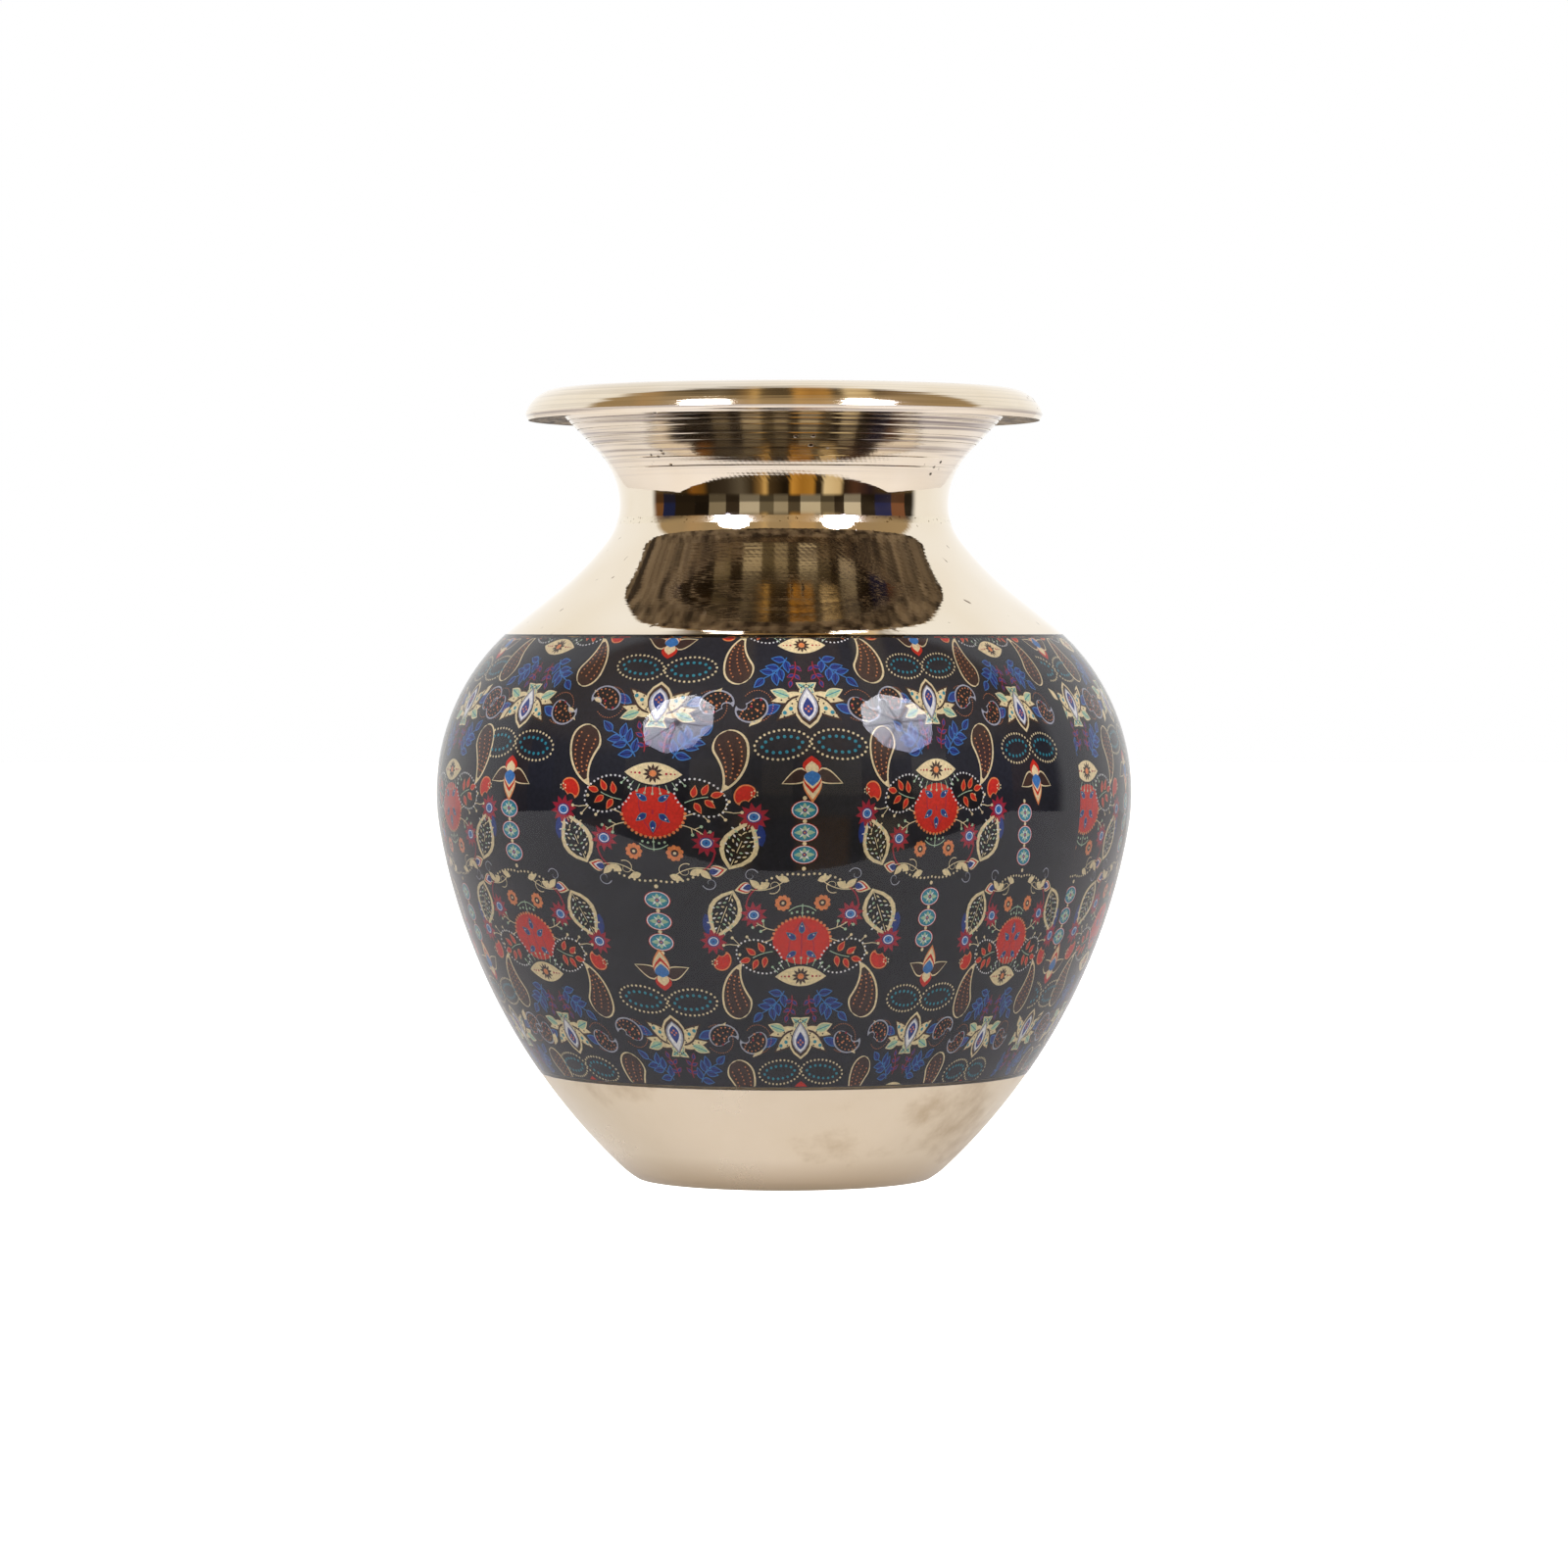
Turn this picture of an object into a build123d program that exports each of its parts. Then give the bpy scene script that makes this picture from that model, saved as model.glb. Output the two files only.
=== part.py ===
"""A cast brass kalash pot with a printed band round its belly, in millimetres.

+Z is up, the origin is the middle of the foot, and every piece is turned about Z.
Three castings are lapped together and brazed. The belly has a shallow turned recess
that holds a printed film under clear lacquer.
"""

from build123d import *
from math import asin, atan2, cos, degrees, radians, sin, sqrt, tan
import os

# ---------------------------------------------------------------------------
# Driving sizes
# ---------------------------------------------------------------------------
# The outline, from the foot up
foot_radius = 26.2
belly_radius = 61.65
neck_radius = 29.2  # outside, where the neck is narrowest
mouth_radius = 45.9  # outside of the lip
belly_height = 68.5  # foot to the widest line
shoulder_rise = 51.0  # widest line to the narrowest line of the neck
flare_rise = 20.5  # narrowest line of the neck to the top of the mouth

# How the outline bends
heel_arc = 16.0
heel_turn = 13.0  # degrees that the heel's arc turns on its way out of the foot
lower_belly_arc = 108.0
collar_arc = 52.9  # the hollow sweep from the shoulder's slope into the neck
collar_turn = 14.0  # degrees that the collar arc turns
neck_arc = 10.5
shoulder_ease = 0.664  # 0 is a straight shoulder, 1 is one that is rounded all the way
flare_ease = 0.38  # the same for the flare of the mouth

# The metal
wall = 2.6
floor_thickness = 3.6
floor_corner = 12.0  # inside rounding where the floor meets the wall
throat_bore_radius = 27.0

# The lip
lip_overhang = 7.0  # past the outside of the flare
lip_drop = 4.4  # top of the mouth to the lip's widest line
lip_land_height = 1.1  # narrow band turned under the widest line
lip_land_taper = 0.5
lip_hollow = 0.6  # how far the lip's underside rises on its way to the flare
mouth_edge_round = 0.8

# The foot
foot_edge_round = 0.3
foot_hollow_radius = 19.5
foot_hollow_depth = 1.0

# The brazed laps. A seam is the ring of brazing metal that shows outside, and the thin
# film of it between the upper casting's spigot and the lower casting.
neck_seam_drop = 2.9  # narrowest line of the neck to the middle of its seam
seam_width = 1.2
neck_lap_length = 2.0
belly_lap_length = 4.0
lap_gap = 0.1

# The printed band
band_bottom = 18.9  # height of its lower edge over the foot
band_top_gap = 3.0  # from its upper edge to the start of the shoulder's straight slope
film_thickness = 0.25
film_margin = 0.4  # the lacquer closes round the film's edges by this much
lacquer_thickness = 0.4
lacquer_proud = 0.08

# ---------------------------------------------------------------------------
# Sizes that follow
# ---------------------------------------------------------------------------
neck_height = belly_height + shoulder_rise
height = neck_height + flare_rise
lip_height = height - lip_drop
lip_bottom = lip_height - lip_land_height
flare_top = lip_bottom + lip_hollow
neck_seam_height = neck_height - neck_seam_drop
belly_seam_height = belly_height + (seam_width + belly_lap_length) / 2
recess_depth = film_thickness + lacquer_thickness - lacquer_proud
beyond = height + belly_radius  # farther out than any metal
solving_rounds = 60  # each round brings a joined pair of arcs closer, well past rounding


def arc_then_slope(reach, rise, ease):
    """An arc that starts upright and runs out into a straight slope.

    The two go reach sideways over rise. Gives the slope's angle from upright, in
    radians, and the arc's radius.
    """
    slope = (1 + ease) * atan2(reach, rise)
    return slope, (rise * sin(slope) - reach * cos(slope)) / (1 - cos(slope))


def shoulder_and_belly():
    """The shoulder's slope and the belly's arc that leave room for the collar and neck."""
    slope = radians(collar_turn)
    for _ in range(solving_rounds):
        turn = slope - radians(collar_turn)
        reach = collar_arc * (cos(turn) - cos(slope)) + neck_arc * (1 - cos(turn))
        rise = collar_arc * (sin(slope) - sin(turn)) + neck_arc * sin(turn)
        slope, arc = arc_then_slope(
            belly_radius - neck_radius - reach, shoulder_rise - rise, shoulder_ease
        )
    return slope, arc


def polar(centre, radius, angle):
    """The point of an arc at an angle in radians."""
    return centre + Vector(cos(angle), sin(angle)) * radius


def direction(start, end):
    """The angle of the line from one point to another, in radians."""
    return atan2(end.Y - start.Y, end.X - start.X)


shoulder_slope, belly_arc = shoulder_and_belly()
neck_turn = shoulder_slope - radians(collar_turn)
flare_slope, flare_arc = arc_then_slope(
    mouth_radius - lip_overhang - neck_radius, flare_top - neck_height, flare_ease
)

# Centres of the outline's arcs
belly_centre = Vector(belly_radius - belly_arc, belly_height)
neck_centre = Vector(neck_radius + neck_arc, neck_height)
flare_centre = Vector(neck_radius + flare_arc, neck_height)
collar_centre = polar(neck_centre, collar_arc - neck_arc, neck_turn)
foot_edge = Vector(foot_radius, 0)


def lower_belly_and_heel():
    """Centres of the long lower arc and of the heel's arc, which touch inside.

    The lower arc also touches the belly's arc inside, and the heel's arc starts at the
    foot's edge.
    """
    to_heel = lower_belly_arc - heel_arc
    to_belly = lower_belly_arc - belly_arc
    join = radians(-heel_turn)
    for _ in range(solving_rounds):
        heel = polar(foot_edge, -heel_arc, join - radians(heel_turn))
        between = belly_centre - heel
        along = (between.length**2 + to_heel**2 - to_belly**2) / (2 * between.length)
        aside = sqrt(to_heel**2 - along**2)
        unit = between.normalized()
        lower = heel + unit * along + Vector(-unit.Y, unit.X) * aside
        join = direction(lower, heel)
    return lower, heel


lower_centre, heel_centre = lower_belly_and_heel()
heel_start = direction(heel_centre, foot_edge)
heel_join = direction(lower_centre, heel_centre)
belly_join = direction(lower_centre, belly_centre)


def flare_radius(inset, level):
    """Radius of the flare's straight slope at a height, inset into the metal."""
    start = polar(flare_centre, flare_arc + inset, radians(180) - flare_slope)
    return start.X + (level - start.Y) * tan(flare_slope)


def arc(centre, radius, first, last):
    """An arc between two angles in radians."""
    return CenterArc(centre, radius, degrees(first), degrees(last - first))


def draw_wall(inset, first, level):
    """The outline from an angle of the lower belly's arc up to a height in the flare."""
    arc(lower_centre, lower_belly_arc - inset, first, belly_join)
    belly = arc(belly_centre, belly_arc - inset, belly_join, shoulder_slope)
    collar = arc(
        collar_centre, collar_arc + inset, radians(180) + shoulder_slope, radians(180) + neck_turn
    )
    Line(belly @ 1, collar @ 0)
    arc(neck_centre, neck_arc + inset, radians(180) + neck_turn, radians(180))
    flare = arc(flare_centre, flare_arc + inset, radians(180), radians(180) - flare_slope)
    Line(flare @ 1, (flare_radius(inset, level), level))


def draw_pot():
    """The whole pot cut through its axis: foot, wall, lip and floor."""
    # Outside, up to the lip
    arc(heel_centre, heel_arc, heel_start, heel_join)
    draw_wall(0, heel_join, flare_top)
    # The lip, which rolls over from the mouth's inner edge
    mouth_edge = flare_radius(wall, height)
    reach = mouth_radius - mouth_edge
    lip_arc = (reach**2 + lip_drop**2) / (2 * lip_drop)
    lip_centre = Vector(mouth_edge, height - lip_arc)
    widest = Vector(mouth_radius, lip_height)
    arc(lip_centre, lip_arc, direction(lip_centre, widest), radians(90))
    Polyline(
        widest,
        (mouth_radius - lip_land_taper, lip_bottom),
        (flare_radius(0, flare_top), flare_top),
    )
    # Inside, down to the floor
    inner_arc = lower_belly_arc - wall
    floor_start = -sqrt(inner_arc**2 - (floor_thickness - lower_centre.Y) ** 2)
    floor_angle = atan2(floor_thickness - lower_centre.Y, -floor_start)
    draw_wall(wall, floor_angle, height)
    # Floor and foot
    Polyline(
        polar(lower_centre, inner_arc, floor_angle),
        (0, floor_thickness),
        (0, foot_hollow_depth),
        (foot_hollow_radius, foot_hollow_depth),
        (foot_hollow_radius, 0),
        (foot_radius, 0),
    )


def draw_band(outer, inner, margin):
    """A layer of the band between two insets, its ends square to the wall."""
    first = margin / lower_belly_arc - asin((lower_centre.Y - band_bottom) / lower_belly_arc)
    last = shoulder_slope - (band_top_gap + margin) / belly_arc
    for inset in (outer, inner):
        arc(lower_centre, lower_belly_arc - inset, first, belly_join)
        arc(belly_centre, belly_arc - inset, belly_join, last)
    for centre, radius, angle in (
        (lower_centre, lower_belly_arc, first),
        (belly_centre, belly_arc, last),
    ):
        Line(polar(centre, radius - outer, angle), polar(centre, radius - inner, angle))


# ---------------------------------------------------------------------------
# The laps between the castings
# ---------------------------------------------------------------------------
# Each lap is a seam height, the spigot's radius and the spigot's length
neck_lap_level = neck_seam_height - (seam_width + neck_lap_length) / 2
neck_spigot_radius = neck_centre.X - sqrt(
    (neck_arc + wall / 2) ** 2 - (neck_lap_level - neck_height) ** 2
)
belly_spigot_radius = belly_radius - (recess_depth + wall) / 2
neck_lap = (neck_seam_height, neck_spigot_radius, neck_lap_length)
belly_lap = (belly_seam_height, belly_spigot_radius, belly_lap_length)


def draw_below(seam_height, spigot_radius, length):
    """All that belongs to the casting under a lap."""
    lip = seam_height - seam_width / 2
    step = lip - length
    socket_radius = spigot_radius + lap_gap
    Polyline(
        (0, -beyond), (beyond, -beyond), (beyond, lip), (socket_radius, lip), (socket_radius, step),
        (0, step), close=True,
    )  # fmt: skip


def draw_above(seam_height, spigot_radius, length):
    """All that belongs to the casting over a lap, with its spigot."""
    shelf = seam_height + seam_width / 2
    tip = seam_height - seam_width / 2 - length
    Polyline(
        (0, tip), (spigot_radius, tip), (spigot_radius, shelf), (beyond, shelf),
        (beyond, beyond + height), (0, beyond + height), close=True,
    )  # fmt: skip


def draw_seam(seam_height, spigot_radius, length):
    """The brazing metal: a ring outside and a thin film along the spigot."""
    lip = seam_height - seam_width / 2
    socket_radius = spigot_radius + lap_gap
    Polyline(
        (spigot_radius, lip - length), (socket_radius, lip - length), (socket_radius, lip),
        (beyond, lip), (beyond, lip + seam_width), (spigot_radius, lip + seam_width), close=True,
    )  # fmt: skip


# ---------------------------------------------------------------------------
# The base: floor, foot and lower belly
# ---------------------------------------------------------------------------
with BuildPart() as base_bowl:
    with BuildSketch(Plane.XZ):
        with BuildLine():
            draw_pot()
        make_face()
        with BuildLine():
            draw_band(-recess_depth, recess_depth, 0)
        make_face(mode=Mode.SUBTRACT)
        with BuildLine():
            draw_below(*belly_lap)
        make_face(mode=Mode.INTERSECT)
    revolve(axis=Axis.Z)
    bottom_edges = base_bowl.edges().group_by(Axis.Z)[0].sort_by(lambda edge: edge.length)
    fillet(bottom_edges[-1], foot_edge_round)
    floor_edge = base_bowl.edges().filter_by(
        lambda edge: abs(edge.center().Z - floor_thickness) < 0.001
    )
    fillet(floor_edge, floor_corner)
base_bowl.part.label = "base_bowl"

# ---------------------------------------------------------------------------
# The shoulder: upper belly and the foot of the neck
# ---------------------------------------------------------------------------
with BuildPart() as shoulder_bowl:
    with BuildSketch(Plane.XZ):
        with BuildLine():
            draw_pot()
        make_face()
        with BuildLine():
            draw_band(-recess_depth, recess_depth, 0)
        make_face(mode=Mode.SUBTRACT)
        with BuildLine():
            draw_above(*belly_lap)
        make_face(mode=Mode.INTERSECT)
        with BuildLine():
            draw_below(*neck_lap)
        make_face(mode=Mode.INTERSECT)
    revolve(axis=Axis.Z)
shoulder_bowl.part.label = "shoulder_bowl"

# ---------------------------------------------------------------------------
# The mouth: neck, flare and rolled lip, with the throat bored true
# ---------------------------------------------------------------------------
with BuildPart() as mouth_and_neck:
    with BuildSketch(Plane.XZ):
        with BuildLine():
            draw_pot()
        make_face()
        with BuildLine():
            draw_above(*neck_lap)
        make_face(mode=Mode.INTERSECT)
    revolve(axis=Axis.Z)
    fillet(mouth_and_neck.edges().group_by(Axis.Z)[-1], mouth_edge_round)
    with BuildSketch(Plane.XY.offset(neck_height)):
        Circle(throat_bore_radius)
    extrude(amount=neck_arc / 2, both=True, mode=Mode.SUBTRACT)
mouth_and_neck.part.label = "mouth_and_neck"

# ---------------------------------------------------------------------------
# The brazed seams
# ---------------------------------------------------------------------------
with BuildPart() as neck_seam:
    with BuildSketch(Plane.XZ):
        with BuildLine():
            draw_pot()
        make_face()
        with BuildLine():
            draw_seam(*neck_lap)
        make_face(mode=Mode.INTERSECT)
    revolve(axis=Axis.Z)
neck_seam.part.label = "neck_seam"

with BuildPart() as belly_seam:
    with BuildSketch(Plane.XZ):
        with BuildLine():
            draw_pot()
        make_face()
        with BuildLine():
            draw_band(-recess_depth, recess_depth, 0)
        make_face(mode=Mode.SUBTRACT)
        with BuildLine():
            draw_seam(*belly_lap)
        make_face(mode=Mode.INTERSECT)
    revolve(axis=Axis.Z)
belly_seam.part.label = "belly_seam"

# ---------------------------------------------------------------------------
# The printed film and the lacquer over it
# ---------------------------------------------------------------------------
with BuildPart() as printed_film:
    with BuildSketch(Plane.XZ):
        with BuildLine():
            draw_band(recess_depth - film_thickness, recess_depth, film_margin)
        make_face()
    revolve(axis=Axis.Z)
printed_film.part.label = "printed_film"

with BuildPart() as clear_lacquer:
    with BuildSketch(Plane.XZ):
        with BuildLine():
            draw_band(-lacquer_proud, recess_depth, 0)
        make_face()
        with BuildLine():
            draw_band(recess_depth - film_thickness, recess_depth, film_margin)
        make_face(mode=Mode.SUBTRACT)
    revolve(axis=Axis.Z)
clear_lacquer.part.label = "clear_lacquer"

# ---------------------------------------------------------------------------
# Writing the pieces
# ---------------------------------------------------------------------------
os.makedirs("parts", exist_ok=True)
export_step(base_bowl.part, "parts/base_bowl.step")
export_step(shoulder_bowl.part, "parts/shoulder_bowl.step")
export_step(mouth_and_neck.part, "parts/mouth_and_neck.step")
export_step(neck_seam.part, "parts/neck_seam.step")
export_step(belly_seam.part, "parts/belly_seam.step")
export_step(printed_film.part, "parts/printed_film.step")
export_step(clear_lacquer.part, "parts/clear_lacquer.step")
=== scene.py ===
"""The looks of a cast brass kalash pot with a printed, lacquered band round its belly."""

import math

import bpy
import numpy as np
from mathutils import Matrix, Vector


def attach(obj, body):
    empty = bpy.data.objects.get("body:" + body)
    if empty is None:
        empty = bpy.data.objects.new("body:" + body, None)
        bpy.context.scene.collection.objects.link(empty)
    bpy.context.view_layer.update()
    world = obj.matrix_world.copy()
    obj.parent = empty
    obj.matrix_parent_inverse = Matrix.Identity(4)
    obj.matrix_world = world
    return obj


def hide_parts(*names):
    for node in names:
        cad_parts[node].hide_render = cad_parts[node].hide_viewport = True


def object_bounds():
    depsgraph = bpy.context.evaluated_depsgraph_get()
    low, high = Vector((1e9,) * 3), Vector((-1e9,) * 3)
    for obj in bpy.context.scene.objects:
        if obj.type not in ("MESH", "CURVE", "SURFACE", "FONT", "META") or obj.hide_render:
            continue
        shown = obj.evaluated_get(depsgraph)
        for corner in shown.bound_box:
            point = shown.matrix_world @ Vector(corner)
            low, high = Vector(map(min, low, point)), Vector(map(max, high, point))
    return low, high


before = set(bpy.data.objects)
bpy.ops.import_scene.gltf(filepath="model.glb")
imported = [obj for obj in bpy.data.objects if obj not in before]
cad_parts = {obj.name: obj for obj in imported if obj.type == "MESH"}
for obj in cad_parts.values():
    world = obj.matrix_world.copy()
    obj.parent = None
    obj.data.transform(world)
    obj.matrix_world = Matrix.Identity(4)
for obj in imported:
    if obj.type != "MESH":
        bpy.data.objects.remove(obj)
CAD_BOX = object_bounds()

MM = 0.001

# ---------------------------------------------------------------------------
# The mouth and neck: one sand-cast brass casting, turned on a lathe outside. The flare keeps
# coarse turning lines and a few casting pits, the throat is buffed to a mirror, and the
# underside of the rolled lip is left as it came out of the sand.
RING_STEPS = 192
SPACING = 0.7 * MM  # between points along an outline
CORNER = math.radians(25)  # an outline that turns more than this has a sharp corner
WELD = 1e-6  # points closer than this are one


def seam_outline(name):
    """The outline of a turned CAD node, in order: its points on the half plane y = 0."""
    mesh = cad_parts[name].data
    places = np.array([v.co for v in mesh.vertices])
    on_seam = (abs(places[:, 1]) < WELD) & (places[:, 0] > -WELD)
    key = {i: tuple(np.round(places[i][[0, 2]], 6)) for i in np.flatnonzero(on_seam)}
    joined = {}
    for edge in mesh.edges:
        a, b = (key.get(i) for i in edge.vertices)
        if a and b and a != b:
            joined.setdefault(a, set()).add(b)
            joined.setdefault(b, set()).add(a)
    ends = sorted((p for p in joined if len(joined[p]) == 1), key=lambda p: p[1])
    first = ends[0] if ends else min(joined, key=lambda p: (p[1], -p[0]))
    path = [first]
    onward = max(joined[first], key=lambda p: p[0])
    while onward is not None:
        path.append(onward)
        left = [p for p in joined[onward] if p not in path]
        onward = left[0] if left else None
    return np.array(path), not ends


def smooth_outline(points, closed):
    """Fills in an outline between its points, round where it bends gently, sharp at corners."""
    if closed:
        points = np.vstack([points, points[:1]])
    step = np.diff(points, axis=0)
    length = np.hypot(*step.T)
    way = step / length[:, None]
    last = len(way) - 1
    ahead, behind = way.copy(), way.copy()
    for i in range(len(points)):
        before = i - 1 if i else (last if closed else None)
        after = i if i <= last else (0 if closed else None)
        if before is None or after is None:
            continue
        if way[before] @ way[after] < math.cos(CORNER):
            continue
        a, b = length[before], length[after]
        mean = way[before] * b + way[after] * a
        if max(a, b) > 2.5 * min(a, b):
            mean = way[before] if a > b else way[after]
        mean /= np.hypot(*mean)
        behind[before] = mean
        ahead[after] = mean
    out = []
    for i in range(len(way)):
        count = max(1, round(length[i] / SPACING))
        for t in np.arange(count) / count:
            out.append(
                points[i] * (2 * t**3 - 3 * t**2 + 1)
                + points[i + 1] * (3 * t**2 - 2 * t**3)
                + ahead[i] * length[i] * (t**3 - 2 * t**2 + t)
                + behind[i] * length[i] * (t**3 - t**2)
            )
    if not closed:
        out.append(points[-1])
    return np.array(out)


def opened_mesh(name, places, edges, faces):
    """Makes an object with a mesh and opens it for editing, with everything selected."""
    bpy.ops.object.select_all(action="DESELECT")
    mesh = bpy.data.meshes.new(name)
    mesh.from_pydata(places, edges, faces)
    made = bpy.data.objects.new(name, mesh)
    bpy.context.scene.collection.objects.link(made)
    bpy.context.view_layer.objects.active = made
    made.select_set(True)
    bpy.ops.object.mode_set(mode="EDIT")
    bpy.ops.mesh.select_all(action="SELECT")
    return made


def turned_piece(name, outline, closed):
    """Spins an outline about Z into a solid of revolution."""
    count = len(outline)
    edges = [(i, i + 1) for i in range(count - 1)] + ([(count - 1, 0)] if closed else [])
    piece = opened_mesh(name, [(r, 0, z) for r, z in outline], edges, [])
    bpy.ops.mesh.spin(steps=RING_STEPS, angle=2 * math.pi, center=(0, 0, 0), axis=(0, 0, 1))
    bpy.ops.mesh.select_all(action="SELECT")
    bpy.ops.mesh.remove_doubles(threshold=WELD)
    bpy.ops.mesh.normals_make_consistent(inside=False)
    bpy.ops.object.mode_set(mode="OBJECT")
    bpy.ops.object.shade_smooth_by_angle(angle=CORNER)
    return piece


def grooved(outline, heights, half, depth):
    """Cuts grooves in the down-facing side of a closed outline, at the heights given."""
    ahead = np.roll(outline, -1, axis=0)
    area = (outline[:, 0] * ahead[:, 1] - ahead[:, 0] * outline[:, 1]).sum()
    out = []
    for here, there in zip(outline, ahead):
        out.append(here)
        way = (there - here) / np.hypot(*(there - here))
        outward = np.array([way[1], -way[0]]) * np.sign(area)
        crossed = [h for h in heights if (h - here[1]) * (h - there[1]) < 0 and outward[1] < -0.2]
        for height in sorted(crossed, key=lambda h: abs(h - here[1])):
            place = here + (there - here) * (height - here[1]) / (there[1] - here[1])
            out += [place - way * half, place - outward * depth, place + way * half]
    return np.array(out)


def line_inside(piece, top=1.0):
    """Gives the faces that look at the axis, up to a height, the piece's second material."""
    for face in piece.data.polygons:
        outward = face.center.x * face.normal.x + face.center.y * face.normal.y
        if outward < 0 and face.center.z < top:
            face.material_index = 1


def linear(code):
    """An sRGB hex colour as linear RGBA."""
    values = [int(code[i : i + 2], 16) / 255 for i in (1, 3, 5)]
    return [v / 12.92 if v < 0.04045 else ((v + 0.055) / 1.055) ** 2.4 for v in values] + [1]


def feed(node, *values, **named):
    """Fills a node's inputs, in order or by name, from values, hex colours, sockets or nodes."""
    given = list(zip([socket for socket in node.inputs if socket.enabled], values))
    given += [(node.inputs[name.replace("_", " ")], value) for name, value in named.items()]
    for socket, value in given:
        if isinstance(value, bpy.types.Node):
            value = next(out for out in value.outputs if out.enabled)
        if isinstance(value, bpy.types.NodeSocket):
            node.id_data.links.new(value, socket)
        else:
            socket.default_value = linear(value) if isinstance(value, str) else value


# which setting the mode of a node is, where it isn't its operation
MODES = {"MapRange": "interpolation_type", "Mix": "data_type"}


def add(tree, kind, *values, stops=(), **settings):
    """Adds a node, with its settings, its inputs in order or by name, and a ramp's stops.

    A kind may be followed by its mode. A stop is a position and a hex colour or a level.
    """
    kind, *mode = kind.split()
    made = tree.nodes.new("ShaderNode" + kind)
    if mode:
        setattr(made, MODES.get(kind, "operation"), mode[0])
    for name in [name for name in settings if hasattr(made, name)]:
        setattr(made, name, settings.pop(name))
    feed(made, *values, **settings)
    while stops and len(made.color_ramp.elements) < len(stops):
        made.color_ramp.elements.new(0.5)
    for count, (position, colour) in enumerate(stops):
        stop = made.color_ramp.elements[count]
        stop.position = position
        stop.color = linear(colour) if isinstance(colour, str) else (colour, colour, colour, 1)
    return made


def material(name):
    """A new material: itself, its node tree and its one shader."""
    made = bpy.data.materials.new(name)
    made.use_nodes = True
    return made, made.node_tree, made.node_tree.nodes["Principled BSDF"]


def lathe_coordinates(tree):
    """Where a point lies on a turned piece: its place, radius, height and angle."""
    place = add(tree, "TexCoord").outputs["Object"]
    axes = add(tree, "SeparateXYZ", place).outputs
    radius = add(tree, "VectorMath LENGTH", add(tree, "CombineXYZ", axes["X"], axes["Y"]))
    angle = add(tree, "Math ARCTAN2", axes["Y"], axes["X"])
    return place, radius, axes["Z"], angle


def turning_lines(tree, radius, height, angle, pitch, breaks):
    """Lathe lines: noise that is tight across the cut and drawn out round the piece."""
    across = add(
        tree, "CombineXYZ",
        add(tree, "Math MULTIPLY", radius, 1 / pitch),
        add(tree, "Math MULTIPLY", height, 1 / pitch),
        add(tree, "Math MULTIPLY", angle, breaks),
    )  # fmt: skip
    return add(tree, "TexNoise", across, 1.0, 2.0)


BRASS = "#EDE5D8"
BRASS_DEEP = "#DCCCAF"
OXIDE = "#3A2C1E"
THROAT_TOP, FLARE_FOOT = 0.1222, 0.1252  # the buffed throat ends, the coarse turning starts
FLARE_LOW, FLARE_HIGH = 0.1225, 0.137
RIM_FOOT, RIM_TURNED = 0.1352, 0.1356
LIP_UNDERSIDE = 0.13  # the lip's cast underside is all above this
KNURLS, KNURL_CLIMB = 210.0, 5200.0  # round the flare, and the radians that they climb in a metre


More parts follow.
